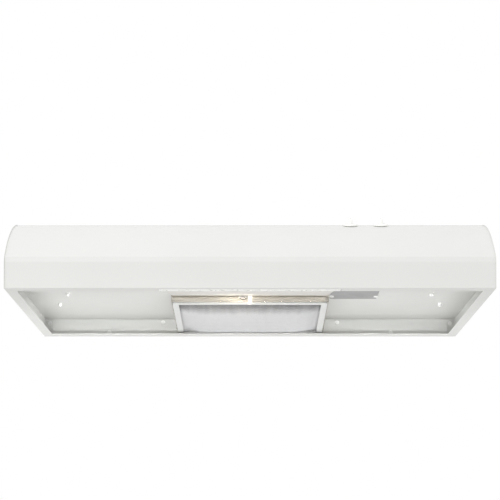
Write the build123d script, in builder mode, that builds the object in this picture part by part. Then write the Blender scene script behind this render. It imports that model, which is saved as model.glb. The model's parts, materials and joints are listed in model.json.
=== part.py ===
from build123d import *
import os
from math import cos, radians, sin, sqrt

os.makedirs("parts", exist_ok=True)

# An under cabinet range hood in millimetres. X runs to the right, the front faces -Y,
# Z is up. The origin is at the middle of the plan, on the level of the bottom rim.

# ---- driving dimensions ----
width = 759.0
depth = 444.5
height = 125.0
sheet = 0.9
half_width = width / 2
inner_half = half_width - sheet
front_y = -depth / 2
back_y = depth / 2
back_inner_y = back_y - sheet
under_top_z = height - sheet

# the front: one large arc, a narrow upright face, then a band that leans back to the rim
crown_radius = 163.1
crown_y = front_y + 141.1
crown_z = -33.6
crease_z = 40.0
band_setback = 9.0
side_reveal = 1.5
bend_radius = 1.6
front_flange_y = front_y + 31.0
rear_flange_y = back_y - 23.2
side_flange = 17.0
hem = 8.0
lap = 14.5

# the recessed ceiling, the blower box and the tilted filter
ceiling_z = 32.0
ceiling_top_z = ceiling_z + sheet
ceiling_flange = 12.0
ceiling_inner_x = 134.0
box_half = 133.3
box_front_y = -3.4
filter_half = 131.6
filter_length = 217.0
filter_height = 9.5
filter_tilt = 3.9
filter_front_y = -0.5
filter_front_z = 18.3
filter_bar = 10.5
filter_wall = 0.8
lip_height = 1.9
hinge_run = 192.0
pin_radius = 1.5
pin_clearance = 0.05

# the fan
fan_y = 104.0
orifice_z = 40.0
orifice_radius = 95.0
fan_radius = 91.5
fan_low_z = 46.5
hub_radius = 19.0
hub_height = 22.0
blade_count = 5
shaft_radius = 3.175
motor_low_z = 74.0
motor_high_z = 110.0
motor_radius = 42.0
motor_wall = 1.2

# the duct collar and its damper
collar_y = 147.0
collar_length = 252.0
collar_width = 81.0
collar_height = 38.0
collar_flange = 12.0
damper_axis_y = collar_y - collar_width / 2 + 4.5
damper_axis_z = height + 8.0
damper_sheet = 0.8

# the lamp
lens_lip_half = 141.0
lens_half = 131.0
lens_wall = 1.6
lens_front_y = -203.0
lens_step_y = -190.0
lens_rear_y = -10.5
lamp_y = -82.0
lamp_z = 58.0
housing_half = 128.9

# the wiring box behind its cover
wiring_x = (141.0, 211.0)
wiring_y = (-90.0, 20.0)
wiring_in_x = (142.0, 210.0)
wiring_in_y = (-89.0, 19.0)
cover_x = (136.0, 216.0)
cover_y = (-95.0, 25.0)
knockout_radius = 11.1

# the two rotary controls on the crown
knob_spots = {"fan": 162.0, "light": 211.0}
knob_setback = 88.0
knob_radius = 12.0

# screws: low pan heads, and tall domed ones in the ceiling, all with a cross recess
screw_head = 4.0
pan_height = 2.2
dome_height = 5.6
screw_shank = 2.0
mount_spacing_x = 570.0
mount_spacing_y = 220.0
mount_centre_y = 50.0
mount_hole = 3.0

LOW = (Align.CENTER, Align.CENTER, Align.MIN)
HIGH = (Align.CENTER, Align.CENTER, Align.MAX)


def block(x, y, z, mode=Mode.ADD):
    """A box given by its two ends along each axis."""
    centre = (sum(x) / 2, sum(y) / 2, sum(z) / 2)
    with Locations(centre):
        Box(x[1] - x[0], y[1] - y[0], z[1] - z[0], mode=mode)


def drill(seats, radius, reach=6.0):
    """Round holes through the sheets behind each seat."""
    with Locations(*seats):
        Cylinder(radius, 2 * reach, mode=Mode.SUBTRACT)


def front_outline(inset, top_z):
    """Points down the front: top edge, a point on the arc, brow, crease and rim."""
    radius = crown_radius - inset
    face_y = front_y + inset
    top = (crown_y - sqrt(radius**2 - (top_z - crown_z) ** 2), top_z)
    brow = (face_y, crown_z + sqrt(radius**2 - (face_y - crown_y) ** 2))
    diagonal = radius * sqrt(0.5)
    middle = (crown_y - diagonal, crown_z + diagonal)
    return top, middle, brow, (face_y, crease_z), (face_y + band_setback, 0.0)


def crown_plane(x):
    """The plane tangent to the visor's crown at a control, with its Z pointing out."""
    radius = crown_radius - side_reveal
    y = front_y + knob_setback
    rise = sqrt(radius**2 - (y - crown_y) ** 2)
    normal = (0, (y - crown_y) / radius, rise / radius)
    return Plane(origin=(x, y, crown_z + rise), x_dir=(1, 0, 0), z_dir=normal)


def tilted(run, rise):
    """A point of the filter's own plane in Y and Z: run goes back, rise goes up."""
    angle = radians(filter_tilt)
    y = filter_front_y + run * cos(angle) + rise * sin(angle)
    z = filter_front_z - run * sin(angle) + rise * cos(angle)
    return y, z


filter_plane = Plane(
    origin=(0, filter_front_y, filter_front_z),
    x_dir=(1, 0, 0),
    z_dir=(0, sin(radians(filter_tilt)), cos(radians(filter_tilt))),
)
hinge_y, hinge_z = tilted(hinge_run, filter_height / 2)


# ---- screw seats: the plane of each head, Z pointing out of the sheet ----
def seat(x, y, z, normal, x_dir=(1, 0, 0)):
    return Plane(origin=(x, y, z), x_dir=x_dir, z_dir=normal)


ceiling_seats = [
    seat(s * x, y, ceiling_z, (0, 0, -1)) for s in (-1, 1) for x, y in ((306, -18), (332, 71))
]
rear_seats = [seat(s * x, back_inner_y, z, (0, -1, 0)) for s in (-1, 1) for x, z in ((161, 26), (260, 7.5))]
corner_seats = [seat(s * 370, back_inner_y - sheet, 24, (0, -1, 0)) for s in (-1, 1)]
side_seats = [seat(s * 371, y, height, (0, 0, 1)) for s in (-1, 1) for y in (-70, 50, 170)]
collar_seats = [
    seat(sx * 110, collar_y + sy * (collar_width / 2 + 6.5), height + sheet, (0, 0, 1))
    for sx in (-1, 1)
    for sy in (-1, 1)
]
cover_seats = [seat(x, y, ceiling_z - sheet, (0, 0, -1)) for x in (138.6, 213.4) for y in (-60, 0)]
bracket_seats = [seat(s * box_half, fan_y, 116, (s, 0, 0), x_dir=(0, 1, 0)) for s in (-1, 1)]


# ---- the casing ----
with BuildPart() as visor:
    top, middle, brow, crease, rim = front_outline(side_reveal, under_top_z)
    with BuildSketch(Plane.YZ.offset(-inner_half)):
        with BuildLine():
            Line((top[0] + lap, top[1]), top)
            ThreePointArc(top, middle, brow)
            FilletPolyline(brow, crease, rim, (front_flange_y, 0), radius=bend_radius)
            offset(amount=sheet, side=Side.LEFT, kind=Kind.INTERSECTION)
        make_face()
    extrude(amount=2 * inner_half)
    block((-inner_half, inner_half), (front_flange_y - hem, front_flange_y), (sheet, 2 * sheet))
    notch_half = lens_lip_half + 1
    block((-notch_half, notch_half), (lens_front_y - 1.2, front_flange_y + 1), (-1, 3), Mode.SUBTRACT)
    drill([crown_plane(x) for x in knob_spots.values()], 4.9)
visor.part.label = "visor"
export_step(visor.part, "parts/visor.step")

with BuildPart() as left_side_panel:
    top, middle, brow, crease, rim = front_outline(0, height)
    with BuildSketch(Plane.YZ.offset(-half_width)):
        with BuildLine():
            ThreePointArc(top, middle, brow)
            Polyline(brow, crease, rim, (back_y, 0), (back_y, height), top)
        make_face()
    extrude(amount=sheet)
    inner = -inner_half
    block((inner, inner + side_flange - sheet), (front_flange_y, rear_flange_y), (0, sheet))
    block((inner, inner + 15), (top[0] + lap + 4, back_inner_y - sheet), (under_top_z - sheet, under_top_z))
    block((inner, inner + 15), (back_inner_y - sheet, back_inner_y), (sheet, under_top_z))
    drill(side_seats, screw_shank)
    drill(corner_seats, screw_shank)
left_side_panel.part.label = "left_side_panel"
export_step(left_side_panel.part, "parts/left_side_panel.step")

with BuildPart() as right_side_panel:
    mirror(left_side_panel.part, about=Plane.YZ)
right_side_panel.part.label = "right_side_panel"
export_step(right_side_panel.part, "parts/right_side_panel.step")

with BuildPart() as top_panel:
    top_front_y = front_outline(side_reveal, under_top_z)[0][0]
    block((-inner_half, inner_half), (top_front_y, back_y), (under_top_z, height))
    block((-120, 120), (collar_y - 36, collar_y + 36), (100, 140), Mode.SUBTRACT)
    with Locations((0, mount_centre_y, height)):
        with GridLocations(mount_spacing_x, mount_spacing_y, 2, 2):
            Hole(mount_hole, depth=2 * sheet)
    with Locations((sum(wiring_x) / 2, sum(wiring_y) / 2, height)):
        Hole(knockout_radius, depth=2 * sheet)
    drill(side_seats + collar_seats, screw_shank)
top_panel.part.label = "top_panel"
export_step(top_panel.part, "parts/top_panel.step")

with BuildPart() as back_panel:
    block((-inner_half, inner_half), (back_inner_y, back_y), (0, under_top_z))
    block((-inner_half, inner_half), (rear_flange_y, back_inner_y), (0, sheet))
    block((-inner_half, inner_half), (rear_flange_y, rear_flange_y + hem), (sheet, 2 * sheet))
    for sign in (-1, 1):
        spread = sorted((sign * 145, sign * 360))
        block(spread, (back_inner_y - 14, back_inner_y), (under_top_z - sheet, under_top_z))
    # the rear duct knockout: a slit frame that four bridges hold
    with BuildSketch(Plane.XZ.offset(-back_y)):
        with Locations((0, 80)):
            Rectangle(254, 76)
            Rectangle(252, 74, mode=Mode.SUBTRACT)
            Rectangle(300, 8, mode=Mode.SUBTRACT)
            Rectangle(14, 100, mode=Mode.SUBTRACT)
    extrude(amount=2 * sheet, mode=Mode.SUBTRACT)
    drill(rear_seats + corner_seats, screw_shank)
back_panel.part.label = "back_panel"
export_step(back_panel.part, "parts/back_panel.step")

# ---- the recessed ceiling, in a left and a right half beside the blower box ----
for label, sign in (("left_ceiling_panel", -1), ("right_ceiling_panel", 1)):
    near = sign * ceiling_inner_x
    far = sign * (inner_half - 0.1)
    rear = back_inner_y - sheet
    with BuildPart() as ceiling_panel:
        block(sorted((near, far)), (front_y + 4.8, rear), (ceiling_z, ceiling_top_z))
        flange = (ceiling_top_z, ceiling_top_z + ceiling_flange)
        block(sorted((far, far - sign * sheet)), (-200, 200), flange)
        block(sorted((near, near + sign * sheet)), (-200, 200), flange)
        block(sorted((near, sign * 360)), (rear - sheet, rear), flange)
        drill(ceiling_seats, screw_shank)
        if sign > 0:
            block(wiring_in_x, wiring_in_y, (30, 35), Mode.SUBTRACT)
            drill(cover_seats, screw_shank)
    ceiling_panel.part.label = label
    export_step(ceiling_panel.part, f"parts/{label}.step")

for label, sign in (("left_ceiling_brace", -1), ("right_ceiling_brace", 1)):
    with BuildPart() as brace:
        span = (-40, 100)
        x0, x1 = sorted((sign * 299, sign * 341))
        block((x0, x1), span, (ceiling_top_z, ceiling_top_z + sheet))
        block((x0, x0 + sheet), span, (ceiling_top_z, under_top_z))
        block((x1 - sheet, x1), span, (ceiling_top_z, under_top_z))
        block((x0 - 11, x0), span, (under_top_z - sheet, under_top_z))
        block((x1, x1 + 11), span, (under_top_z - sheet, under_top_z))
        drill(ceiling_seats, screw_shank)
    brace.part.label = label
    export_step(brace.part, f"parts/{label}.step")

# ---- the blower box: three walls whose lower skirt follows the filter's tilt ----
with BuildPart() as blower_box:
    skirt_front = tilted(box_front_y - filter_front_y, lip_height)
    skirt_rear = tilted(filter_length + 3, lip_height)
    with BuildSketch(Plane.YZ.offset(-box_half)):
        with BuildLine():
            Polyline(
                (box_front_y, skirt_front[1]),
                skirt_rear,
                (back_inner_y, skirt_rear[1]),
                (back_inner_y, under_top_z),
                (box_front_y, under_top_z),
                close=True,
            )
        make_face()
        with Locations((hinge_y, hinge_z)):
            Circle(4.2)
            Circle(pin_radius + pin_clearance, mode=Mode.SUBTRACT)
    extrude(amount=sheet)
    mirror(about=Plane.YZ)
    block((-box_half, box_half), (box_front_y, box_front_y + sheet), (skirt_front[1], under_top_z))
    block((-box_half, box_half), (box_front_y - 8, box_front_y), (under_top_z - sheet, under_top_z))
    for sign in (-1, 1):
        spread = sorted((sign * box_half, sign * (box_half + 7)))
        block(spread, (box_front_y, 200), (under_top_z - sheet, under_top_z))
    drill(bracket_seats, screw_shank)
    with Locations(Plane.YZ.offset(box_half)):
        with Locations((8, 108)):
            Cylinder(5, 4, mode=Mode.SUBTRACT)
blower_box.part.label = "blower_box"
export_step(blower_box.part, "parts/blower_box.step")

with BuildPart() as orifice_plate:
    in_half = box_half - sheet
    in_y = (box_front_y + sheet, back_inner_y)
    block((-in_half, in_half), in_y, (orifice_z, orifice_z + sheet))
    for sign in (-1, 1):
        block(sorted((sign * in_half, sign * (in_half - sheet))), in_y, (orifice_z + sheet, orifice_z + 10))
    with Locations((0, fan_y, orifice_z)):
        Cylinder(orifice_radius + sheet, 12, align=LOW)
        Cylinder(orifice_radius, 30, mode=Mode.SUBTRACT)
    fillet(orifice_plate.edges().filter_by(GeomType.CIRCLE).group_by(Axis.Z)[0], 0.4)
orifice_plate.part.label = "orifice_plate"
export_step(orifice_plate.part, "parts/orifice_plate.step")

# ---- the motor under its bracket ----
bracket_z = 111.0
with BuildPart() as motor_bracket:
    reach = box_half - sheet
    block((-reach, reach), (fan_y - 20, fan_y + 20), (bracket_z, bracket_z + 1.5))
    for sign in (-1, 1):
        tab_x = sorted((sign * reach, sign * (reach - 1.5)))
        block(tab_x, (fan_y - 20, fan_y + 20), (bracket_z, under_top_z - sheet))
    with Locations((0, fan_y, bracket_z)):
        with PolarLocations(32, 2):
            Hole(4.5, depth=4)
    with Locations((0, fan_y, bracket_z)):
        Cylinder(9, 6, mode=Mode.SUBTRACT)
    drill(bracket_seats, screw_shank)
motor_bracket.part.label = "motor_bracket"
export_step(motor_bracket.part, "parts/motor_bracket.step")

with BuildPart() as motor_grommets:
    with Locations((0, fan_y, motor_high_z)):
        with PolarLocations(32, 2):
            Cylinder(6.5, 1.0, align=LOW)
            Cylinder(4.5, 2.5, align=LOW)
            Cylinder(2.0, 3, align=LOW, mode=Mode.SUBTRACT)
motor_grommets.part.label = "motor_grommets"
export_step(motor_grommets.part, "parts/motor_grommets.step")

with BuildPart() as motor_screws:
    with Locations((0, fan_y, motor_high_z + 2.5)):
        with PolarLocations(32, 2):
            Cylinder(4.0, 2.2, align=LOW)
            Cylinder(2.0, 4.0, align=HIGH)
    fillet(motor_screws.edges().group_by(Axis.Z)[-1], 1.0)
motor_screws.part.label = "motor_screws"
export_step(motor_screws.part, "parts/motor_screws.step")

end_cap_z = motor_high_z - 4.0
bearing_radius = 6.0
with BuildPart() as motor_can:
    with Locations((0, fan_y, motor_low_z)):
        Cylinder(motor_radius, end_cap_z - motor_low_z, align=LOW)
    fillet(motor_can.edges().group_by(Axis.Z)[0], 4.0)
    with Locations((0, fan_y, motor_low_z + motor_wall)):
        Cylinder(motor_radius - motor_wall, 60, align=LOW, mode=Mode.SUBTRACT)
    with Locations((0, fan_y, motor_low_z)):
        Cylinder(9.0, 6.0, align=LOW)
        Cylinder(bearing_radius, 30, mode=Mode.SUBTRACT)
        with PolarLocations(27, 8):
            Cylinder(5.0, 6, mode=Mode.SUBTRACT)
motor_can.part.label = "motor_can"
export_step(motor_can.part, "parts/motor_can.step")

with BuildPart() as motor_end_cap:
    with Locations((0, fan_y, end_cap_z)):
        Cylinder(motor_radius, 4.0, align=LOW)
        Cylinder(bearing_radius, 20, mode=Mode.SUBTRACT)
        with PolarLocations(32, 2):
            Cylinder(screw_shank, 20, mode=Mode.SUBTRACT)
    fillet(motor_end_cap.edges().group_by(Axis.Z)[-1].sort_by(SortBy.RADIUS)[-1], 2.0)
motor_end_cap.part.label = "motor_end_cap"
export_step(motor_end_cap.part, "parts/motor_end_cap.step")

with BuildPart() as motor_bearings:
    for low in (motor_low_z, end_cap_z):
        with Locations((0, fan_y, low)):
            Cylinder(bearing_radius, 6.0, align=LOW)
            Cylinder(shaft_radius + 0.03, 6.0, align=LOW, mode=Mode.SUBTRACT)
motor_bearings.part.label = "motor_bearings"
export_step(motor_bearings.part, "parts/motor_bearings.step")

with BuildPart() as stator_core:
    with Locations((0, fan_y, 84)):
        Cylinder(motor_radius - motor_wall, 14, align=LOW)
        Cylinder(20.6, 14, align=LOW, mode=Mode.SUBTRACT)
        with PolarLocations(29, 12):
            Box(9, 5, 14, align=LOW, mode=Mode.SUBTRACT)
stator_core.part.label = "stator_core"
export_step(stator_core.part, "parts/stator_core.step")

with BuildPart() as stator_coils:
    for low in (79.5, 98):
        with Locations((0, fan_y, low)):
            Cylinder(35, 4.5, align=LOW)
            Cylinder(23, 4.5, align=LOW, mode=Mode.SUBTRACT)
    fillet(stator_coils.edges().group_by(Axis.Z)[-1], 1.5)
    fillet(stator_coils.edges().group_by(Axis.Z)[0], 1.5)
stator_coils.part.label = "stator_coils"
export_step(stator_coils.part, "parts/stator_coils.step")

# ---- the fan, which turns with its shaft and rotor ----
with BuildPart() as fan_shaft:
    with Locations((0, fan_y, 43)):
        Cylinder(shaft_radius, 71, align=LOW)
    chamfer(fan_shaft.edges().filter_by(GeomType.CIRCLE), 0.5)
fan_shaft.part.label = "fan_shaft"
export_step(fan_shaft.part, "parts/fan_shaft.step")

with BuildPart() as motor_rotor:
    with Locations((0, fan_y, 84)):
        Cylinder(20.0, 14, align=LOW)
        Cylinder(shaft_radius, 14, align=LOW, mode=Mode.SUBTRACT)
motor_rotor.part.label = "motor_rotor"
export_step(motor_rotor.part, "parts/motor_rotor.step")

blade_z = fan_low_z + hub_height / 2
with BuildPart() as blade:
    for radius, chord, pitch in ((hub_radius - 2, 24, 40), (55, 40, 30), (fan_radius + 1, 52, 22)):
        section_plane = Plane(origin=(radius, 0, blade_z), x_dir=(0, 1, 0), z_dir=(1, 0, 0))
        with BuildSketch(section_plane):
            Rectangle(chord, 1.4, rotation=pitch)
    loft()
    with Locations((0, 0, blade_z)):
        Cylinder(fan_radius, 60, mode=Mode.INTERSECT)

with BuildPart() as fan_blade:
    with Locations((0, fan_y, fan_low_z)):
        Cylinder(hub_radius, hub_height, align=LOW)
    fillet(fan_blade.edges().group_by(Axis.Z)[0], 3.0)
    with Locations((0, fan_y)):
        with PolarLocations(0, blade_count):
            add(blade.part)
    with Locations((0, fan_y, fan_low_z)):
        Cylinder(shaft_radius, 100, mode=Mode.SUBTRACT)
fan_blade.part.label = "fan_blade"
export_step(fan_blade.part, "parts/fan_blade.step")

with BuildPart() as fan_nut:
    with BuildSketch(Plane.XY.offset(fan_low_z - 2.5)):
        with Locations((0, fan_y)):
            RegularPolygon(6.0, 6)
            Circle(shaft_radius, mode=Mode.SUBTRACT)
    extrude(amount=2.5)
fan_nut.part.label = "fan_nut"
export_step(fan_nut.part, "parts/fan_nut.step")

# ---- the duct collar on the top, with the damper that the air lifts ----
with BuildPart() as duct_collar:
    with BuildSketch(Plane.XY.offset(height)):
        with Locations((0, collar_y)):
            RectangleRounded(collar_length + 2 * collar_flange, collar_width + 2 * collar_flange, 6)
    extrude(amount=sheet)
    with BuildSketch(Plane.XY.offset(height)):
        with Locations((0, collar_y)):
            RectangleRounded(collar_length, collar_width, 5)
    extrude(amount=collar_height)
    with BuildSketch(Plane.XY.offset(height)):
        with Locations((0, collar_y)):
            RectangleRounded(collar_length - 2 * sheet, collar_width - 2 * sheet, 4.1)
    extrude(amount=collar_height, mode=Mode.SUBTRACT)
    drill(collar_seats, screw_shank)
    with Locations(Plane.YZ.offset(0)):
        with Locations((damper_axis_y, damper_axis_z)):
            Cylinder(pin_radius + pin_clearance, collar_length + 20, mode=Mode.SUBTRACT)
duct_collar.part.label = "duct_collar"
export_step(duct_collar.part, "parts/duct_collar.step")

collar_rear_y = collar_y + collar_width / 2 - sheet
with BuildPart() as damper_stop:
    stop_top_z = damper_axis_z - damper_sheet / 2 - 0.3
    block((-100, 100), (collar_rear_y - 0.8, collar_rear_y), (height + 1, stop_top_z))
    block((-100, 100), (collar_rear_y - 8, collar_rear_y), (stop_top_z - 0.8, stop_top_z))
damper_stop.part.label = "damper_stop"
export_step(damper_stop.part, "parts/damper_stop.step")

damper_half = collar_length / 2 - sheet - 1.0
with BuildPart() as damper_flap:
    flap_z = (damper_axis_z - damper_sheet / 2, damper_axis_z + damper_sheet / 2)
    block((-damper_half, damper_half), (damper_axis_y, collar_rear_y - 1.2), flap_z)
    fillet(damper_flap.edges().filter_by(Axis.Z).group_by(Axis.Y)[-1], 5)
    for rib_x in (-80, 80):
        block((rib_x - 4, rib_x + 4), (damper_axis_y + 6, collar_rear_y - 12), (flap_z[1], flap_z[1] + 1.2))
    with Locations(Plane.YZ):
        with Locations((damper_axis_y, damper_axis_z)):
            Cylinder(pin_radius + damper_sheet, 2 * damper_half)
            Cylinder(pin_radius, 2 * damper_half, mode=Mode.SUBTRACT)
damper_flap.part.label = "damper_flap"
export_step(damper_flap.part, "parts/damper_flap.step")

with BuildPart() as damper_rod:
    with Locations(Plane.YZ):
        with Locations((damper_axis_y, damper_axis_z)):
            Cylinder(pin_radius, collar_length + 3)
damper_rod.part.label = "damper_rod"
export_step(damper_rod.part, "parts/damper_rod.step")

# ---- the lamp: a folded reflector tray, a socket, a bulb and a lens that swings down ----
housing_front_y = -187.0
housing_rear_y = -14.5
housing_top_z = 92.0
with BuildPart() as lamp_housing:
    tray = [
        (housing_front_y, ceiling_z),
        (-171, housing_top_z),
        (housing_rear_y, housing_top_z),
        (housing_rear_y, ceiling_z),
    ]
    with BuildSketch(Plane.YZ.offset(-housing_half)):
        with BuildLine():
            Polyline(*tray, close=True)
        make_face()
        offset(amount=sheet, kind=Kind.INTERSECTION)
        with Locations((-100, ceiling_z - 5)):
            Rectangle(300, 10, mode=Mode.SUBTRACT)
    extrude(amount=2 * housing_half)
    flange_half = box_half + 0.4
    block((-flange_half, flange_half), (front_y + 4.8, box_front_y - 0.3), (ceiling_z, ceiling_top_z))
    with BuildSketch(Plane.YZ.offset(-housing_half + sheet)):
        with BuildLine():
            Polyline(*tray, close=True)
        make_face()
    extrude(amount=2 * (housing_half - sheet), mode=Mode.SUBTRACT)
    with Locations(Plane.YZ.offset(housing_half)):
        with Locations((lamp_y, lamp_z)):
            Cylinder(4, 4, mode=Mode.SUBTRACT)
lamp_housing.part.label = "lamp_housing"
export_step(lamp_housing.part, "parts/lamp_housing.step")

socket_face_x = 86.0
cap_radius = 13.0
lamp_axis_plane = Plane(origin=(0, lamp_y, lamp_z), x_dir=(0, 0, 1), z_dir=(1, 0, 0))
with BuildPart() as lamp_socket:
    with BuildSketch(lamp_axis_plane.offset(socket_face_x)):
        Circle(17)
    extrude(amount=housing_half - sheet - socket_face_x)
    with BuildSketch(lamp_axis_plane.offset(socket_face_x)):
        Circle(cap_radius + 0.6)
    extrude(amount=26, mode=Mode.SUBTRACT)
    fillet(lamp_socket.edges().group_by(Axis.X)[0], 0.8)
lamp_socket.part.label = "lamp_socket"
export_step(lamp_socket.part, "parts/lamp_socket.step")

with BuildPart() as lamp_cap:
    with BuildSketch(lamp_axis_plane.offset(socket_face_x - 6)):
        Circle(cap_radius)
    extrude(amount=26)
    with BuildSketch(lamp_axis_plane.offset(socket_face_x + 20)):
        Circle(5)
    extrude(amount=6)
lamp_cap.part.label = "lamp_cap"
export_step(lamp_cap.part, "parts/lamp_cap.step")

bulb_radius = 24.0
bulb_centre_x = socket_face_x - 62
neck_x = socket_face_x - 6
with BuildPart() as lamp_bulb:
    with BuildSketch(Plane(origin=(0, lamp_y, lamp_z), x_dir=(1, 0, 0), z_dir=(0, -1, 0))):
        with BuildLine():
            tip = (bulb_centre_x - bulb_radius, 0)
            crown = (bulb_centre_x, bulb_radius)
            diagonal = bulb_radius * sqrt(0.5)
            ThreePointArc(tip, (bulb_centre_x - diagonal, diagonal), crown)
            Spline(crown, (bulb_centre_x + 28, 17.5), (neck_x, 12.5), tangents=((1, 0), (1, 0)))
            Polyline((neck_x, 12.5), (neck_x, 0), tip)
        make_face()
    revolve(axis=Axis((0, lamp_y, lamp_z), (1, 0, 0)))
lamp_bulb.part.label = "lamp_bulb"
export_step(lamp_bulb.part, "parts/lamp_bulb.step")

lens_low_z = 0.3
lens_high_z = 29.6
lens_top_z = 31.4
lens_axis_y = lens_front_y + lens_wall / 2
with BuildPart() as lamp_lens:
    with BuildSketch(Plane.YZ.offset(-lens_half)):
        with BuildLine():
            Polyline(
                (lens_step_y, lens_low_z),
                (lens_rear_y, lens_high_z),
                (lens_rear_y, lens_high_z + lens_wall),
                (lens_step_y, lens_low_z + lens_wall),
                close=True,
            )
        make_face()
    extrude(amount=2 * lens_half)
    lip_z = (lens_low_z, lens_low_z + lens_wall)
    block((-lens_lip_half, lens_lip_half), (lens_axis_y, lens_step_y), lip_z)
    # the round front edge, which the lens turns about
    with Locations(Plane.YZ):
        with Locations((lens_axis_y, sum(lip_z) / 2)):
            Cylinder(lens_wall / 2, 2 * lens_lip_half)
    for sign in (-1, 1):
        with BuildSketch(Plane.YZ.offset(sign * (lens_half - lens_wall / 2))):
            with BuildLine():
                Polyline(
                    (lens_step_y, lens_low_z),
                    (lens_rear_y, lens_high_z),
                    (lens_rear_y, lens_top_z),
                    (lens_step_y + 4, lens_top_z),
                    (lens_step_y, lens_top_z - 4),
                    close=True,
                )
            make_face()
        extrude(amount=lens_wall / 2, both=True)
        tongue_x = sorted((sign * 96, sign * 116))
        block(tongue_x, (lens_front_y - 6, lens_step_y), (2 * sheet + 0.4, 2 * sheet + 1.6))
        block(tongue_x, (lens_front_y, lens_step_y), (lens_low_z, 2 * sheet + 1.6))
lamp_lens.part.label = "lamp_lens"
export_step(lamp_lens.part, "parts/lamp_lens.step")

latch_x = -12.0
with BuildPart() as lens_latch:
    block((latch_x - 6, latch_x + 6), (lens_rear_y, lens_rear_y + 1.2), (26, 31.2))
    block((latch_x - 4, latch_x + 4), (lens_rear_y - 6, lens_rear_y + 1.2), (24.6, 26))
lens_latch.part.label = "lens_latch"
export_step(lens_latch.part, "parts/lens_latch.step")

# ---- the filter: a channel frame, a mesh pad, hinge pins and a pull tab ----
with BuildPart() as filter_frame:
    with BuildSketch(filter_plane):
        with Locations((0, filter_length / 2)):
            RectangleRounded(2 * filter_half, filter_length, 2.5)
    extrude(amount=filter_height)
    with BuildSketch(filter_plane.offset(filter_wall)):
        with Locations((0, filter_length / 2)):
            Rectangle(2 * (filter_half - filter_wall), filter_length - 2 * filter_wall)
    extrude(amount=filter_height - 2 * filter_wall, mode=Mode.SUBTRACT)
    with BuildSketch(filter_plane.offset(-1)):
        with Locations((0, filter_length / 2)):
            RectangleRounded(2 * (filter_half - filter_bar), filter_length - 2 * filter_bar, 2)
    extrude(amount=filter_height + 2, mode=Mode.SUBTRACT)
    with Locations(Plane.YZ):
        with Locations((hinge_y, hinge_z)):
            Cylinder(pin_radius, 2 * filter_half + 20, mode=Mode.SUBTRACT)
filter_frame.part.label = "filter_frame"
export_step(filter_frame.part, "parts/filter_frame.step")

pad_low = 3.4
pad_half = filter_half - 5.4
pad_length = filter_length - 2 * filter_wall - 0.6
skin = 1.0
with BuildPart() as filter_mesh:
    with BuildSketch(filter_plane.offset(pad_low)):
        with Locations((0, filter_length / 2)):
            Rectangle(2 * pad_half, pad_length)
    extrude(amount=skin)
    # a flat-topped swelling of the lower face: the same tapered block, then once more a skin higher
    for rise, mode in ((0, Mode.ADD), (skin, Mode.SUBTRACT)):
        with BuildSketch(filter_plane.offset(pad_low + rise)):
            with Locations((0, 114)):
                RectangleRounded(2 * pad_half - 34, 178, 12)
        with BuildSketch(filter_plane.offset(pad_low + rise - 6.2)):
            with Locations((0, 146)):
                RectangleRounded(2 * pad_half - 96, 92, 12)
        loft(mode=mode)
filter_mesh.part.label = "filter_mesh"
export_step(filter_mesh.part, "parts/filter_mesh.step")

with BuildPart() as filter_backing:
    with BuildSketch(filter_plane.offset(filter_height - filter_wall - skin)):
        with Locations((0, filter_length / 2)):
            Rectangle(2 * pad_half, pad_length)
    extrude(amount=skin)
filter_backing.part.label = "filter_backing"
export_step(filter_backing.part, "parts/filter_backing.step")

with BuildPart() as filter_pins:
    for sign in (-1, 1):
        with Locations(Plane.YZ.offset(sign * (filter_half - 1.2))):
            with Locations((hinge_y, hinge_z)):
                Cylinder(pin_radius, 8)
filter_pins.part.label = "filter_pins"
export_step(filter_pins.part, "parts/filter_pins.step")

with BuildPart() as filter_tab:
    block((-3.5, 3.5), (box_front_y - 1.6, box_front_y - 0.7), (15.5, 31.0))
    block((-3.5, 3.5), (box_front_y - 0.7, filter_front_y), (18.9, 19.8))
    fillet(filter_tab.edges().filter_by(Axis.Y).group_by(Axis.Z)[0], 2.5)
filter_tab.part.label = "filter_tab"
export_step(filter_tab.part, "parts/filter_tab.step")

# ---- wiring box, its cover, the switches and the leads ----
with BuildPart() as wiring_box:
    block(wiring_x, wiring_y, (ceiling_top_z, under_top_z))
    block(wiring_in_x, wiring_in_y, (0, 200), Mode.SUBTRACT)
    with Locations(Plane.YZ.offset(wiring_x[0])):
        with Locations((lamp_y, lamp_z), (8, 108)):
            Cylinder(4, 6, mode=Mode.SUBTRACT)
    with Locations(Plane.XZ.offset(-wiring_y[0])):
        with Locations((162, 100), (200, 100)):
            Cylinder(4, 6, mode=Mode.SUBTRACT)
wiring_box.part.label = "wiring_box"
export_step(wiring_box.part, "parts/wiring_box.step")

with BuildPart() as wiring_cover:
    block(cover_x, cover_y, (ceiling_z - sheet, ceiling_z))
    fillet(wiring_cover.edges().filter_by(Axis.Z), 3)
    drill(cover_seats, screw_shank)
wiring_cover.part.label = "wiring_cover"
export_step(wiring_cover.part, "parts/wiring_cover.step")

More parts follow.
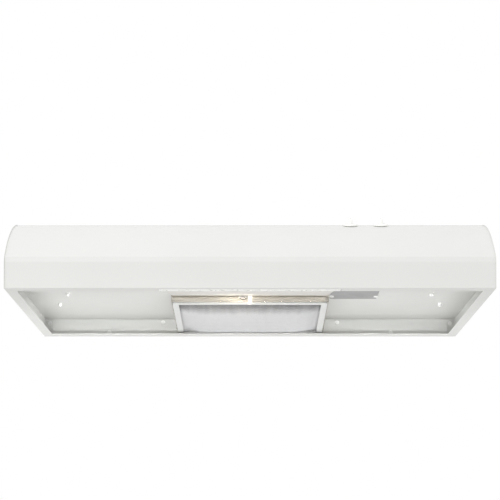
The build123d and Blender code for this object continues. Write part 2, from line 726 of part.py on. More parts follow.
for name, x in knob_spots.items():
    plane = crown_plane(x)
    with BuildPart() as switch_body:
        with BuildSketch(plane.offset(-sheet - 2)):
            RectangleRounded(28, 28, 2)
        extrude(amount=-14)
        with BuildSketch(plane.offset(-sheet - 2)):
            Circle(4.8)
        extrude(amount=sheet + 4)
        with BuildSketch(plane.offset(-sheet - 5)):
            Circle(3.08)
        extrude(amount=12, mode=Mode.SUBTRACT)
    switch_body.part.label = f"{name}_switch"
    export_step(switch_body.part, f"parts/{name}_switch.step")
    with BuildPart() as knob:
        with BuildSketch(plane.offset(0.35)):
            Circle(knob_radius)
        extrude(amount=3.6)
        fillet(knob.edges().sort_by(Axis(plane.origin, plane.z_dir))[-1], 1.2)
        with BuildSketch(plane.offset(3.0)):
            SlotOverall(21, 8, rotation=90)
        extrude(amount=9, taper=5)
        with BuildSketch(plane.offset(0.35)):
            Circle(6.4)
        extrude(amount=2.4, mode=Mode.SUBTRACT)
        with BuildSketch(plane.offset(3.2)):
            Circle(3.0)
        extrude(amount=-8)
    knob.part.label = f"{name}_knob"
    export_step(knob.part, f"parts/{name}_knob.step")

# ---- the leads inside, each a run of insulated wire held by its holes and caps ----
lead_radius = 1.1
junctions = ((168.0, -35.0, 86.0), (177.0, -35.0, 86.0), (186.0, -35.0, 86.0))
with BuildPart() as wire_caps:
    for junction in junctions:
        with Locations(junction):
            Cone(4.0, 2.6, 14, align=LOW)
wire_caps.part.label = "wire_caps"
export_step(wire_caps.part, "parts/wire_caps.step")


def below(cap, shift):
    """A lead's last two points, straight up into the underside of a wire cap."""
    x, y, z = junctions[cap]
    return (x + shift, y, z - 14), (x + shift, y, z)


def switch_tail(x, shift):
    """A lead's first two points, straight out of the back of a switch."""
    plane = crown_plane(x)
    start = plane.from_local_coords((shift, 0, -sheet - 16))
    bend = plane.from_local_coords((shift, 0, -sheet - 25))
    return start, bend


def through_walls(y, z):
    """The straight stretch of a motor lead through the box's and the wiring box's holes."""
    return (117, y, z), (151, y, z)


lead_routes = {
    "lamp_leads": [
        [(128, lamp_y - 2, lamp_z), (152, lamp_y - 2, lamp_z), (168, -50, 62), *below(0, -1.5)],
        [(128, lamp_y + 2, lamp_z), (148, lamp_y + 2, lamp_z), (170, -40, 58), *below(1, -1.5)],
    ],
    "motor_leads": [
        [(20, 74, 110), (20, 74, 118), (66, 42, 116), *through_walls(9.5, 109), (178, -8, 92)],
        [(27, 77, 110), (27, 77, 117), (72, 46, 112), *through_walls(6.5, 107), (184, -8, 86)],
    ],
    "switch_leads": [
        [*switch_tail(162, -3), (162, -106, 98), (162, -80, 100), (160, -52, 76), *below(0, 1.5)],
        [*switch_tail(211, -3), (202, -106, 98), (200, -80, 100), (196, -52, 78), *below(2, 1.5)],
    ],
}
lead_routes["motor_leads"][0] += below(1, 1.5)
lead_routes["motor_leads"][1] += below(2, -1.5)
for label, routes in lead_routes.items():
    with BuildPart() as leads:
        for route in routes:
            with BuildLine() as path:
                FilletPolyline(*route, radius=3.5)
            with BuildSketch(Plane(origin=path.line @ 0, z_dir=path.line % 0)):
                Circle(lead_radius)
            sweep(path=path.line)
    leads.part.label = label
    export_step(leads.part, f"parts/{label}.step")

# ---- screws ----
heads = {}
for shape, head_height, rounding in (("pan", pan_height, 1.4), ("dome", dome_height, 3.2)):
    with BuildPart() as head:
        Cylinder(screw_head, head_height, align=LOW)
        fillet(head.edges().group_by(Axis.Z)[-1], rounding)
        with Locations((0, 0, head_height)):
            Box(4.4, 0.9, 2.4, mode=Mode.SUBTRACT)
            Box(0.9, 4.4, 2.4, mode=Mode.SUBTRACT)
    heads[shape] = head.part

screw_groups = {
    "ceiling_screws": ("dome", ceiling_seats, 5.0),
    "rear_screws": ("pan", rear_seats, sheet),
    "corner_screws": ("pan", corner_seats, 2 * sheet),
    "side_screws": ("pan", side_seats, 5.0),
    "collar_screws": ("pan", collar_seats, 5.0),
    "cover_screws": ("pan", cover_seats, 5.0),
    "bracket_screws": ("pan", bracket_seats, 5.0),
}
for label, (shape, seats, reach) in screw_groups.items():
    with BuildPart() as screws:
        with Locations(*seats):
            add(heads[shape])
            Cylinder(screw_shank, reach, align=HIGH)
    screws.part.label = label
    export_step(screws.part, f"parts/{label}.step")
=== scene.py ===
import json
import math
import random

import bmesh
import bpy
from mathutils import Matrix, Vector


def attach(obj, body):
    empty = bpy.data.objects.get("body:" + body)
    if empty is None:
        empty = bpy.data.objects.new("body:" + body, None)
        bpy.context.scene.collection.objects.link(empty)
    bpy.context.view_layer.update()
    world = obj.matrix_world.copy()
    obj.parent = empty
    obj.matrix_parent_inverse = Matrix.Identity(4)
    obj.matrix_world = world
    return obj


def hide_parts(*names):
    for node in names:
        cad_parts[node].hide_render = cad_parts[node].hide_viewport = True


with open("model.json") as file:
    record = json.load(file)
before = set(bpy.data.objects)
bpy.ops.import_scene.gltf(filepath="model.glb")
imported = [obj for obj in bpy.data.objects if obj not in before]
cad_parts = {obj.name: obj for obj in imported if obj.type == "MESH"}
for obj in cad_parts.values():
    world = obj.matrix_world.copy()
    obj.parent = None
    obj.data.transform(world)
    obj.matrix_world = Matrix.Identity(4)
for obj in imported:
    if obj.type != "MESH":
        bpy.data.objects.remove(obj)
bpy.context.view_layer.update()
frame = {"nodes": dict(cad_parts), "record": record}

random.seed(7)
MM = 0.001

# ---- camera ----
CAMERA_AT = (0.0, -2.2792, -0.4325)
CAMERA_TILT = math.radians(13.42)
CAMERA_LENS = 98.65

# ---- the filter's own plane, in mm ----
FILTER_TILT = math.radians(3.9)
FILTER_FRONT_Y = -0.5
FILTER_FRONT_Z = 18.3
PAD_HALF = 126.2
PAD_FIRST = 1.1
PAD_LAST = 215.9
PAD_LOW = 3.4
PAD_HIGH = 8.7

# ---- the lower mesh bulges down between these places, in mm ----
SWELL = 6.2
SWELL_SIDE = 117.5
SWELL_SIDE_FADE = 38.0
SWELL_FRONT = 26.0
SWELL_FRONT_FADE = 76.0
SWELL_MIDDLE = 120.0
SWELL_REAR = 213.0
SWELL_REAR_FADE = 9.0
RECESS_FRONT = 12.0
RECESS_FADE = 50.0

# ---- pressed waves and strands of the mesh, in mm ----
QUILT_DEPTH = 0.7
QUILT_WIDTH = 17.0
QUILT_LENGTH = 26.0
QUILT_FRONT = 30.0
QUILT_FADE = 60.0
STRAND_HALF_LONG = 4.2
STRAND_HALF_SHORT = 1.9
STRAND_SECTION = ((-0.5, -0.26), (0.5, 0.0), (0.5, 0.34), (-0.5, 0.08))

# ---- the lens, in mm ----
LENS_SLOPE = ((-190.0, 0.3), (-10.5, 29.6))
LENS_HALF = 131.0
LENS_WALL = 1.6
LENS_TOP = 31.4
LENS_LIP_HALF = 141.0
LENS_LIP_FRONT = -203.0
LENS_EAR_FROM = 96
LENS_EAR_TO = 116
PRISM_DEPTH = 0.45

# ---- the knobs, in mm ----
KNOB_X = {"fan": 162.0, "light": 211.0}
KNOB_AT = (-134.25, 119.027)
KNOB_NORMAL = (0.0, -0.328589, 0.944473)
SKIRT_SIDES = 144
SKIRT_INSET = 0.1
RIB_COUNT = 36
RIB_DEPTH = 0.14
GRIP_SIDES = 64
STEM_SIDES = 32
STEM_RADIUS = 2.95

# ---- finishes ----
NOISE_LOW = 0.3
NOISE_HIGH = 0.7
# painted shade: the filter mesh is coloured darker towards its front edge, from this object Y back to the
# next
PAINTED_SHADE_FROM = 0.004
PAINTED_SHADE_TO = 0.105

# ---- floor and lights, in metres, watts and degrees ----
FLOOR_HALF = 60.0
FLOOR_LEVEL = -2.8
AIM_CROWN = (0.0, -0.1, 0.06)
AIM_RECESS = (0.0, 0.1, 0.03)
FILL_SPREAD = 14.0
END_FILL_AT = (-0.82, -0.465, -0.468)
END_FILL_TARGET = (0.379, 0.11, 0.012)
END_FILL_POWER = {-1: 0.05, 1: 0.036}


# ======================= node helpers =======================
def new_material(name, colour, roughness, metallic=0.0, **sockets):
    """A Principled material whose uniform values sit on the shader's own sockets."""
    material = bpy.data.materials.new(name)
    material.use_nodes = True
    shader = material.node_tree.nodes["Principled BSDF"]
    shader.inputs["Base Color"].default_value = (*colour, 1.0)
    shader.inputs["Roughness"].default_value = roughness
    shader.inputs["Metallic"].default_value = metallic
    for socket, value in sockets.items():
        shader.inputs[socket.replace("_", " ")].default_value = value
    return material, shader


def place(material, stretch=(1.0, 1.0, 1.0)):
    """Object coordinates, stretched along each axis."""
    nodes, links = material.node_tree.nodes, material.node_tree.links
    coordinates = nodes.new("ShaderNodeTexCoord")
    mapping = nodes.new("ShaderNodeMapping")
    mapping.inputs["Scale"].default_value = stretch
    links.new(coordinates.outputs["Object"], mapping.inputs["Vector"])
    return mapping.outputs["Vector"]


def noise(material, scale, detail=2.0, stretch=(1.0, 1.0, 1.0)):
    nodes, links = material.node_tree.nodes, material.node_tree.links
    texture = nodes.new("ShaderNodeTexNoise")
    texture.inputs["Scale"].default_value = scale
    texture.inputs["Detail"].default_value = detail
    links.new(place(material, stretch), texture.inputs["Vector"])
    return texture.outputs["Fac"]


def cells(material, scale, output):
    nodes, links = material.node_tree.nodes, material.node_tree.links
    texture = nodes.new("ShaderNodeTexVoronoi")
    texture.inputs["Scale"].default_value = scale
    links.new(place(material), texture.inputs["Vector"])
    return texture.outputs[output]


def stripes(material, scale, direction, distortion):
    nodes, links = material.node_tree.nodes, material.node_tree.links
    texture = nodes.new("ShaderNodeTexWave")
    texture.bands_direction = direction
    texture.inputs["Scale"].default_value = scale
    texture.inputs["Distortion"].default_value = distortion
    texture.inputs["Detail"].default_value = 1.0
    links.new(place(material), texture.inputs["Vector"])
    return texture.outputs["Fac"]


def tint(material, shader, source, low, high, start=NOISE_LOW, end=NOISE_HIGH):
    """The base colour runs from low to high as the source runs from start to end."""
    nodes, links = material.node_tree.nodes, material.node_tree.links
    ramp = nodes.new("ShaderNodeValToRGB")
    ramp.color_ramp.elements[0].position = start
    ramp.color_ramp.elements[1].position = end
    ramp.color_ramp.elements[0].color = (*low, 1.0)
    ramp.color_ramp.elements[1].color = (*high, 1.0)
    links.new(source, ramp.inputs["Fac"])
    links.new(ramp.outputs["Color"], shader.inputs["Base Color"])


def gloss(material, shader, source, low, high):
    """The roughness runs from low to high with the source."""
    nodes, links = material.node_tree.nodes, material.node_tree.links
    spread = nodes.new("ShaderNodeMapRange")
    spread.inputs["From Min"].default_value = NOISE_LOW
    spread.inputs["From Max"].default_value = NOISE_HIGH
    spread.inputs["To Min"].default_value = low
    spread.inputs["To Max"].default_value = high
    links.new(source, spread.inputs["Value"])
    links.new(spread.outputs["Result"], shader.inputs["Roughness"])


def relief(material, shader, source, depth_mm, edge_mm=0.0, strength=1.0):
    """A bump of that depth, over edges that look rounded to that radius."""
    nodes, links = material.node_tree.nodes, material.node_tree.links
    bump = nodes.new("ShaderNodeBump")
    bump.inputs["Strength"].default_value = strength
    bump.inputs["Distance"].default_value = depth_mm * MM
    links.new(source, bump.inputs["Height"])
    if edge_mm:
        bevel = nodes.new("ShaderNodeBevel")
        bevel.samples = 6
        bevel.inputs["Radius"].default_value = edge_mm * MM
        links.new(bevel.outputs["Normal"], bump.inputs["Normal"])
    links.new(bump.outputs["Normal"], shader.inputs["Normal"])


# ======================= materials, one per slot =======================
def painted(name, low, high, rough=(0.42, 0.5)):
    """Baked enamel: faint cloudiness under an even, slightly soft shine."""
    material, shader = new_material(name, high, rough[0], Coat_Weight=0.08, Coat_Roughness=0.2)
    tint(material, shader, noise(material, 7.0, 3.0), low, high)
    gloss(material, shader, noise(material, 45.0, 2.0), *rough)
    relief(material, shader, noise(material, 260.0, 1.0), 0.004, 0.0, 0.06)
    return material


def spangled(name, low, high, rough):
    """Galvanised sheet: crystals of zinc a few millimetres wide."""
    material, shader = new_material(name, high, rough[0], 0.9)
    tint(material, shader, cells(material, 150.0, "Color"), low, high, 0.1, 0.9)
    gloss(material, shader, cells(material, 150.0, "Distance"), *rough)
    relief(material, shader, noise(material, 300.0, 3.0), 0.03, 0.3, 0.4)
    return material


def brushed(name, low, high, stretch, rough=0.22, depth=0.06, metallic=1.0):
    """Sheet with drawn lines: fine along one axis, long across it."""
    material, shader = new_material(name, high, rough, metallic)
    lines = noise(material, 300.0, 4.0, stretch)
    tint(material, shader, lines, low, high)
    gloss(material, shader, noise(material, 60.0, 3.0, stretch), rough, rough + 0.08)
    relief(material, shader, lines, depth, 0.3, 0.9)
    return material


def cast(name, low, high, rough=(0.45, 0.62), metallic=0.0, grain=700.0, depth=0.06, **sockets):
    """A finely grained skin: moulded plastic, rubber, plating or paint over metal."""
    material, shader = new_material(name, high, rough[0], metallic, **sockets)
    tint(material, shader, noise(material, 40.0, 4.0), low, high)
    gloss(material, shader, noise(material, 120.0, 2.0), *rough)
    relief(material, shader, noise(material, grain, 2.0), depth, 0.25, 0.5)
    return material


def shaded_at_front(name, shade_colour, high):
    """Aluminium strands with painted shade: the colour darkens in streaks along the front edge near the lamp,
    where the frame's lip shades the recessed mesh.
    """
    material, shader = new_material(name, high, 0.4, 0.5)
    nodes, links = material.node_tree.nodes, material.node_tree.links
    parts = nodes.new("ShaderNodeSeparateXYZ")
    links.new(place(material), parts.inputs["Vector"])
    # painted shade: the colour darkens towards the front edge, streaked across, for the shadow that the
    # frame's lip casts there
    unshaded = nodes.new("ShaderNodeMapRange")
    unshaded.interpolation_type = "SMOOTHSTEP"
    unshaded.inputs["From Min"].default_value = PAINTED_SHADE_FROM
    unshaded.inputs["From Max"].default_value = PAINTED_SHADE_TO
    links.new(parts.outputs["Y"], unshaded.inputs["Value"])
    streaked_shade = nodes.new("ShaderNodeMath")
    streaked_shade.operation = "MULTIPLY_ADD"
    streaked_shade.inputs[1].default_value = 0.35
    links.new(noise(material, 90.0, 2.0, (1.0, 0.12, 0.12)), streaked_shade.inputs[0])
    links.new(unshaded.outputs["Result"], streaked_shade.inputs[2])
    tint(material, shader, streaked_shade.outputs["Value"], shade_colour, high, 0.12, 1.1)
    gloss(material, shader, noise(material, 120.0, 2.0), 0.34, 0.48)
    relief(material, shader, noise(material, 900.0, 2.0), 0.05, 0.0, 0.5)
    return material


def layered(name, low, high, scale, rough=0.4):
    """Stacked laminations or wound wire: narrow stripes with a groove between."""
    material, shader = new_material(name, high, rough, 0.9)
    lines = stripes(material, scale, "Z", 0.4)
    tint(material, shader, lines, low, high, 0.1, 0.6)
    gloss(material, shader, noise(material, 90.0, 2.0), rough, rough + 0.15)
    relief(material, shader, lines, 0.25, 0.0, 0.8)
    return material


FINISH = {
    "white_enamel": painted("white_enamel", (0.69, 0.692, 0.676), (0.71, 0.712, 0.696)),
    "grey_enamel": painted("grey_enamel", (0.27, 0.27, 0.275), (0.3, 0.3, 0.305), (0.3, 0.42)),
    "galvanised": spangled("galvanised", (0.5, 0.52, 0.53), (0.74, 0.76, 0.77), (0.32, 0.5)),
    "bare_metal": brushed(
        "bare_metal", (0.6, 0.57, 0.515), (0.64, 0.61, 0.55), (0.04, 1.0, 9.0), rough=0.24, depth=0.006,
    ),
    "black_rubber": cast("black_rubber", (0.018, 0.018, 0.018), (0.035, 0.035, 0.035), (0.6, 0.8)),
    "zinc": cast("zinc", (0.6, 0.61, 0.6), (0.74, 0.75, 0.73), (0.25, 0.4), 1.0),
    "bright_screw": cast("bright_screw", (0.93, 0.93, 0.92), (0.97, 0.97, 0.96), (0.2, 0.3), depth=0.01),
    "motor_enamel": painted("motor_enamel", (0.02, 0.02, 0.022), (0.035, 0.035, 0.038), (0.35, 0.5)),
    "bronze": cast("bronze", (0.36, 0.22, 0.1), (0.5, 0.33, 0.17), (0.35, 0.5), 1.0),
    "lamination": layered("lamination", (0.12, 0.12, 0.13), (0.34, 0.35, 0.37), 320.0),
    "copper": layered("copper", (0.35, 0.11, 0.04), (0.82, 0.38, 0.17), 260.0, 0.28),
    # painted shade: the steel is kept dark so that the lens latch shows as the dark shadow gap at its slot
    "steel": brushed("steel", (0.3, 0.305, 0.31), (0.42, 0.425, 0.43), (9.0, 1.0, 1.0)),
    "fan_aluminium": brushed(
        "fan_aluminium", (0.66, 0.67, 0.68), (0.82, 0.83, 0.84), (3.0, 3.0, 0.4), rough=0.3,
    ),
    "damper_aluminium": brushed(
        "damper_aluminium", (0.62, 0.63, 0.64), (0.8, 0.81, 0.82), (0.2, 6.0, 1.0), rough=0.3,
    ),
    "socket_plastic": cast("socket_plastic", (0.78, 0.76, 0.7), (0.86, 0.84, 0.78), (0.35, 0.5)),
    "brass_cap": brushed("brass_cap", (0.62, 0.45, 0.18), (0.8, 0.62, 0.3), (8.0, 1.0, 1.0), 0.25),
    "bulb_glass": cast(
        "bulb_glass", (0.92, 0.91, 0.88), (0.97, 0.96, 0.93), (0.1, 0.18), grain=200.0, depth=0.02,
        Transmission_Weight=0.35, IOR=1.5,
    ),
    # lens_plastic carries painted light: a faint warm emission makes the lens glow as if lit by the bulb
    # behind it
    "lens_plastic": cast(
        "lens_plastic", (0.7, 0.68, 0.645), (0.74, 0.72, 0.685), (0.3, 0.4), grain=260.0, depth=0.004,
        Transmission_Weight=0.06, IOR=1.49, Emission_Color=(1.0, 0.93, 0.84, 1.0), Emission_Strength=0.03,
    ),
    "filter_aluminium": brushed(
        "filter_aluminium", (0.76, 0.77, 0.76), (0.84, 0.85, 0.84), (6.0, 0.3, 3.0),
        rough=0.34, depth=0.02, metallic=0.75,
    ),
    # the meshes and foil carry painted shade: dark along the front edge, light behind
    "mesh_aluminium": shaded_at_front("mesh_aluminium", (0.13, 0.13, 0.135), (0.84, 0.84, 0.85)),
    "white_plastic": cast(
        "white_plastic", (0.91, 0.905, 0.89), (0.95, 0.945, 0.93), (0.24, 0.34), grain=1100.0, depth=0.03,
        Coat_Weight=0.2,
    ),
    "switch_plastic": cast("switch_plastic", (0.018, 0.018, 0.02), (0.035, 0.035, 0.04), (0.4, 0.55)),
    "orange_plastic": cast("orange_plastic", (0.72, 0.2, 0.03), (0.85, 0.28, 0.05), (0.35, 0.5)),
    "lead_black": cast("lead_black", (0.012, 0.012, 0.014), (0.025, 0.025, 0.028), (0.35, 0.5)),
    "lead_blue": cast("lead_blue", (0.02, 0.06, 0.26), (0.04, 0.1, 0.36), (0.35, 0.5)),
    "lead_red": cast("lead_red", (0.36, 0.02, 0.015), (0.5, 0.04, 0.03), (0.35, 0.5)),
}

for part in frame["record"]["subparts"]:
    node = frame["nodes"][part["node"]]
    node.data.materials.clear()
    node.data.materials.append(FINISH[part["material_slot"]])


# ======================= mesh helpers =======================
def add_piece(name, mesh_data, body, slot, replaces=(), smooth_angle=35.0):
    """A finished mesh as a piece that rides on a body and takes its finish from a slot."""
    mesh = bpy.data.meshes.new(name)
    mesh_data.normal_update()
    bmesh.ops.recalc_face_normals(mesh_data, faces=mesh_data.faces)
    mesh_data.to_mesh(mesh)
    mesh_data.free()
    for polygon in mesh.polygons:
        polygon.use_smooth = True
    mesh.set_sharp_from_angle(angle=math.radians(smooth_angle))
    mesh.materials.append(FINISH[slot])
    piece = bpy.data.objects.new(name, mesh)
    bpy.context.scene.collection.objects.link(piece)
    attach(piece, body)
    if replaces:
        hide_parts(*replaces)


def add_rings(mesh_data, rings):
    """Joins closed rings of points, each with the same count, and caps both ends."""
    loops = [[mesh_data.verts.new(point) for point in ring] for ring in rings]
    count = len(loops[0])
    for low, high in zip(loops, loops[1:]):
        for i in range(count):
            j = (i + 1) % count
            mesh_data.faces.new((low[i], low[j], high[j], high[i]))
    mesh_data.faces.new(loops[0][::-1])
    mesh_data.faces.new(loops[-1])


def add_extrusion(mesh_data, outline, x0, x1, edge):
    """An outline in Y and Z, in mm, drawn out along X, with its edges bevelled."""
    part = bmesh.new()
    first = [part.verts.new(Vector((x0, y, z)) * MM) for y, z in outline]
    last = [part.verts.new(Vector((x1, y, z)) * MM) for y, z in outline]
    part.faces.new(first)
    part.faces.new(last[::-1])
    for i in range(len(outline)):
        j = (i + 1) % len(outline)
        part.faces.new((first[j], first[i], last[i], last[j]))
    bmesh.ops.recalc_face_normals(part, faces=part.faces)
    sharp = [e for e in part.edges if e.calc_face_angle(0.0) > 0.5]
    bmesh.ops.bevel(part, geom=sharp, offset=edge * MM, segments=2, profile=0.5, affect="EDGES")
    spare = bpy.data.meshes.new("spare")
    part.to_mesh(spare)
    part.free()
    mesh_data.from_mesh(spare)
    bpy.data.meshes.remove(spare)


def smoothstep(value):
    """0 below 0, 1 above 1, and a smooth rise between."""
    value = min(1.0, max(0.0, value))
    return value * value * (3.0 - 2.0 * value)


# ======================= the filter =======================
def on_filter(x, run, rise):
    """A point of the filter's plane, in metres: run goes back, rise goes up."""
    y = FILTER_FRONT_Y + run * math.cos(FILTER_TILT) + rise * math.sin(FILTER_TILT)
    z = FILTER_FRONT_Z - run * math.sin(FILTER_TILT) + rise * math.cos(FILTER_TILT)
    return Vector((x, y, z)) * MM


def swell(x, run):
    """How far the lower mesh bulges down at a point, from 0 to 1."""
    across = smoothstep((SWELL_SIDE - abs(x)) / SWELL_SIDE_FADE)
    if run < SWELL_MIDDLE:
        along = smoothstep((run - SWELL_FRONT) / SWELL_FRONT_FADE)
    else:
        along = smoothstep((SWELL_REAR - run) / SWELL_REAR_FADE)
    return across * along


def recess(run, depth):
    """How far the front edge is pressed up into the frame, in mm."""
    return depth * (1.0 - smoothstep((run - RECESS_FRONT) / RECESS_FADE))


def quilting(x, run):
    """The shallow diamond waves that the press leaves in the mesh, in mm."""
    away = smoothstep((run - QUILT_FRONT) / QUILT_FADE)
    wave = math.cos(math.pi * (x / QUILT_WIDTH + run / QUILT_LENGTH))
    crossing = math.cos(math.pi * (x / QUILT_WIDTH - run / QUILT_LENGTH))
    return QUILT_DEPTH * away * wave * crossing


def expanded_mesh(name, rise, bulge, replaces):
    """Expanded metal: zigzag strands that meet their neighbours at every knot."""
    mesh_data = bmesh.new()
    rows = int((PAD_LAST - PAD_FIRST) / (2 * STRAND_HALF_SHORT)) - 1
    columns = int(PAD_HALF / STRAND_HALF_LONG)
    for row in range(rows):
        middle = PAD_FIRST + 1.6 + (2 * row + 1) * STRAND_HALF_SHORT
        rings = []
        for column in range(-columns, columns + 1):
            x = column * STRAND_HALF_LONG
            run = middle + STRAND_HALF_SHORT * (-1) ** (column + row)
            pressed = recess(run, 3.2) if bulge else 0.0
            lift = rise + pressed - bulge * swell(x, run)
            lift += quilting(x, run) * swell(x, run) if bulge else 0.0
            rings.append([on_filter(x, run + a, lift + b) for a, b in STRAND_SECTION])
        add_rings(mesh_data, rings)
    add_piece(name, mesh_data, "filter", "mesh_aluminium", replaces, 20.0)


expanded_mesh("filter_lower_mesh", PAD_LOW + 0.5, SWELL, ["filter_mesh"])
expanded_mesh("filter_upper_mesh", PAD_HIGH - 0.6, 0.0, ["filter_backing"])


def foil_pack():
    """The crumpled foil between the two meshes."""
    mesh_data = bmesh.new()
    columns, rows = 150, 128
    grid = []
    for i in range(columns + 1):
        line = []
        for j in range(rows + 1):
            x = -PAD_HALF + 2 + (2 * PAD_HALF - 4) * i / columns
            run = PAD_FIRST + 2 + (PAD_LAST - PAD_FIRST - 4) * j / rows
            crumple = random.uniform(-0.55, 0.55)
            lift = PAD_LOW + 2.3 + recess(run, 1.6) + crumple - (SWELL - quilting(x, run)) * swell(x, run)
            jog = random.uniform(-0.4, 0.4)
            line.append(mesh_data.verts.new(on_filter(x + jog, run + jog, lift)))
        grid.append(line)
    for i in range(columns):
        for j in range(rows):
            mesh_data.faces.new((grid[i][j], grid[i + 1][j], grid[i + 1][j + 1], grid[i][j + 1]))
    add_piece("filter_foil_pack", mesh_data, "filter", "mesh_aluminium", (), 5.0)


foil_pack()


# ======================= the lens =======================
def lens_panel(mesh_data):
    """The sloping panel: smooth below, small prisms on its inner side."""
    columns, rows = 130, 90
    (y0, z0), (y1, z1) = LENS_SLOPE
    inside = LENS_HALF - 0.4
    low, high = [], []
    for i in range(columns + 1):
        low_line, high_line = [], []
        for j in range(rows + 1):
            x = -inside + 2 * inside * i / columns
            t = j / rows
            y, z = y0 + (y1 - y0) * t, z0 + (z1 - z0) * t
            border = i in (0, columns) or j in (0, rows)
            prism = 0.0 if border or (i + j) % 2 else PRISM_DEPTH
            low_line.append(mesh_data.verts.new(Vector((x, y, z)) * MM))
            high_line.append(mesh_data.verts.new(Vector((x, y, z + LENS_WALL - prism)) * MM))
        low.append(low_line)
        high.append(high_line)
    for i in range(columns):
        for j in range(rows):
            mesh_data.faces.new((low[i][j], low[i][j + 1], low[i + 1][j + 1], low[i + 1][j]))
            mesh_data.faces.new((high[i][j], high[i + 1][j], high[i + 1][j + 1], high[i][j + 1]))
    for i in range(columns):
        for j in (0, rows):
            mesh_data.faces.new((low[i][j], low[i + 1][j], high[i + 1][j], high[i][j]))
    for j in range(rows):
        for i in (0, columns):
            mesh_data.faces.new((low[i][j], low[i][j + 1], high[i][j + 1], high[i][j]))


def lens_lip():
    """The round-nosed strip along the lens's front edge, white like the knobs."""
    y0, z0 = LENS_SLOPE[0]
    centre_z, radius = z0 + LENS_WALL / 2, LENS_WALL / 2
    nose = [
        (LENS_LIP_FRONT + radius - radius * math.sin(a), centre_z - radius * math.cos(a))
        for a in (math.pi * k / 8 for k in range(9))
    ]
    outline = nose + [(y0 + 1.0, z0 + LENS_WALL + 0.1), (y0 + 1.0, z0)]
    mesh_data = bmesh.new()
    add_extrusion(mesh_data, outline, -LENS_LIP_HALF, LENS_LIP_HALF, 0.12)
    add_piece("lens_lip", mesh_data, "lens", "white_plastic", (), 25.0)


def lens_moulding():
    """The panel with its end walls and its two hinge ears."""
    mesh_data = bmesh.new()
    lens_panel(mesh_data)
    (y0, z0), (y1, z1) = LENS_SLOPE
    wall = [(y0, z0), (y1, z1), (y1, LENS_TOP), (y0 + 4, LENS_TOP), (y0, LENS_TOP - 4.0)]
    tongue = [(-209.0, 2.2), (-189.0, 2.2), (-189.0, 3.4), (-209.0, 3.4)]
    root = [(-202.6, 1.0), (-190.0, 1.0), (-190.0, 3.3), (-202.6, 3.3)]
    for sign in (-1, 1):
        x0, x1 = sorted((sign * LENS_HALF, sign * (LENS_HALF - LENS_WALL)))
        add_extrusion(mesh_data, wall, x0, x1, 0.4)
        x0, x1 = sorted((sign * LENS_EAR_FROM, sign * LENS_EAR_TO))
        add_extrusion(mesh_data, tongue, x0, x1, 0.3)
        add_extrusion(mesh_data, root, x0, x1, 0.3)
    add_piece("lens_moulding", mesh_data, "lens", "lens_plastic", ["lamp_lens"], 25.0)


lens_lip()
lens_moulding()


# ======================= the knobs =======================
def on_crown(x, across, along, out):
    """A point near a knob, in metres: along runs up the crown, out leaves it."""
    _, ny, nz = KNOB_NORMAL
    y = KNOB_AT[0] + along * nz + out * ny
    z = KNOB_AT[1] - along * ny + out * nz
    return Vector((x + across, y, z)) * MM


def circle(x, radius, out, sides):
    """A ring around a knob's stem, in metres."""
    ring = []
    for i in range(sides):
        angle = 2 * math.pi * i / sides
        ring.append(on_crown(x, radius * math.cos(angle), radius * math.sin(angle), out))
    return ring


def skirt_rings(x):
    """The round skirt, finely ribbed around its rim."""
    profile = (
        (11.2, 0.35), (11.85, 0.7), (11.95, 1.4), (11.9, 2.6),
        (11.4, 3.4), (10.4, 3.85), (7.0, 3.6), (0.4, 3.5),
    )
    rings = []
    for level, (radius, out) in enumerate(profile):
        ring = []
        for i in range(SKIRT_SIDES):
            angle = 2 * math.pi * i / SKIRT_SIDES
            rib = RIB_DEPTH * math.cos(RIB_COUNT * angle) if level in (1, 2, 3) else 0.0
            r = radius + rib - SKIRT_INSET
            ring.append(on_crown(x, r * math.cos(angle), r * math.sin(angle), out))
        rings.append(ring)
    return rings


def grip_rings(x):
    """A rounded bar across the skirt, a little narrower at its top."""
    levels = (
        (10.4, 4.0, 3.2), (10.35, 3.6, 4.2), (10.1, 3.3, 8.0), (9.9, 3.1, 10.6),
        (9.6, 2.75, 11.5), (8.9, 2.0, 11.95), (7.8, 0.9, 12.0),
    )
    rings = []
    for half_length, half_width, out in levels:
        ring = []
        for i in range(GRIP_SIDES):
            angle = 2 * math.pi * i / GRIP_SIDES
            c, s = math.cos(angle), math.sin(angle)
            reach = half_length - half_width
            waist = 1.0 - 0.12 * (1.0 - min(1.0, abs(s) * 1.3))
            across = half_width * c * waist
            along = half_width * s + math.copysign(reach * min(1.0, abs(s) * 4.0), s)
            ring.append(on_crown(x, across, along, out))
        rings.append(ring)
    return rings


def knob(name, x):
    """Skirt, grip and the stem that the switch holds, with a painted pointer let into the grip."""
    body = f"{name}_control"
    mesh_data = bmesh.new()
    add_rings(mesh_data, skirt_rings(x))
    add_rings(mesh_data, grip_rings(x))
    add_rings(mesh_data, [circle(x, STEM_RADIUS, out, STEM_SIDES) for out in (-4.6, 0.4, 3.3)])
    add_piece(f"{name}_knob_moulding", mesh_data, body, "white_plastic", [f"{name}_knob"], 40.0)
    pointer = bmesh.new()
    outline = ((-0.45, -0.5), (0.45, -0.5), (0.45, 7.2), (0.0, 7.8), (-0.45, 7.2))
    add_rings(pointer, [[on_crown(x, a, b, out) for a, b in outline] for out in (11.8, 12.05)])
    add_piece(f"{name}_knob_pointer", pointer, body, "grey_enamel")


for name, x in KNOB_X.items():
    knob(name, x)


# ======================= stage, light and camera =======================
def stage():
    """A plain pale floor, far below the hood."""
    material, shader = new_material("floor", (0.8, 0.8, 0.79), 0.7)
    tint(material, shader, noise(material, 1.2, 2.0), (0.82, 0.82, 0.81), (0.84, 0.84, 0.83))
    mesh = bpy.data.meshes.new("floor")
    corners = [(a * FLOOR_HALF, b * FLOOR_HALF, FLOOR_LEVEL) for a, b in ((-1, -1), (1, -1), (1, 1), (-1, 1))]
    mesh.from_pydata(corners, [], [(0, 1, 2, 3)])
    mesh.materials.append(material)
    floor = bpy.data.objects.new("floor", mesh)
    bpy.context.scene.collection.objects.link(floor)


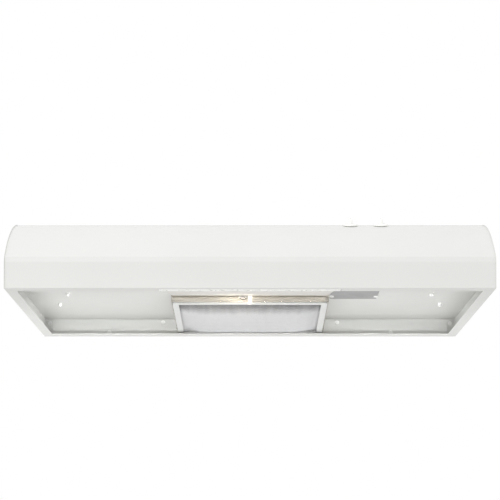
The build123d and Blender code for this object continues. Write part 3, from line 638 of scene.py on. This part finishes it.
def area_light(name, at, target, size, power, colour=(1.0, 1.0, 1.0), depth=None, spread=180.0):
    light = bpy.data.lights.new(name, "AREA")
    light.shape = "ELLIPSE"
    light.size = size
    light.size_y = depth or size
    light.spread = math.radians(spread)
    light.energy = power
    light.color = colour
    lamp = bpy.data.objects.new(name, light)
    lamp.location = at
    lamp.rotation_euler = (Vector(target) - Vector(at)).to_track_quat("-Z", "Y").to_euler()
    lamp.visible_camera = False
    bpy.context.scene.collection.objects.link(lamp)


stage()
world = bpy.data.worlds.new("studio")
world.use_nodes = True
world.node_tree.nodes["Background"].inputs["Color"].default_value = (1.0, 1.0, 1.0, 1.0)
world.node_tree.nodes["Background"].inputs["Strength"].default_value = 1.0
bpy.context.scene.world = world
area_light("key", (-0.9, -2.2, 1.6), AIM_CROWN, size=1.6, power=19.5)
area_light("front", (-1.1, -2.4, -1.1), AIM_RECESS, size=1.4, power=5.0)
area_light("below", (-0.3, -0.7, -1.9), AIM_RECESS, size=1.4, power=0.8)

# narrow fills for the recess; they also shine on the lens when it hangs open, and over-light it there
area_light(
    "under", (-0.05, -1.26, -0.55), (-0.05, 0.236, 0.012),
    size=1.1, power=0.2, depth=0.08, spread=FILL_SPREAD,
)
for side, power in END_FILL_POWER.items():
    at = (END_FILL_AT[0] * side, *END_FILL_AT[1:])
    target = (END_FILL_TARGET[0] * side, *END_FILL_TARGET[1:])
    area_light(f"end{side}", at, target, size=0.2, power=power, spread=FILL_SPREAD)

# a small warm light just below the lens gives the metal strip the glow of the lit bulb
area_light(
    "lamp", (-0.02, -0.10, -0.03), (-0.02, -0.005, 0.028),
    size=0.03, power=0.02, colour=(1.0, 0.9, 0.75), spread=90.0,
)

camera_data = bpy.data.cameras.new("camera")
camera_data.lens = CAMERA_LENS
camera_data.sensor_width = 36.0
camera = bpy.data.objects.new("camera", camera_data)
camera.location = CAMERA_AT
camera.rotation_euler = (math.pi / 2 + CAMERA_TILT, 0.0, 0.0)
bpy.context.scene.collection.objects.link(camera)
bpy.context.scene.camera = camera
bpy.context.scene.view_settings.view_transform = "Standard"
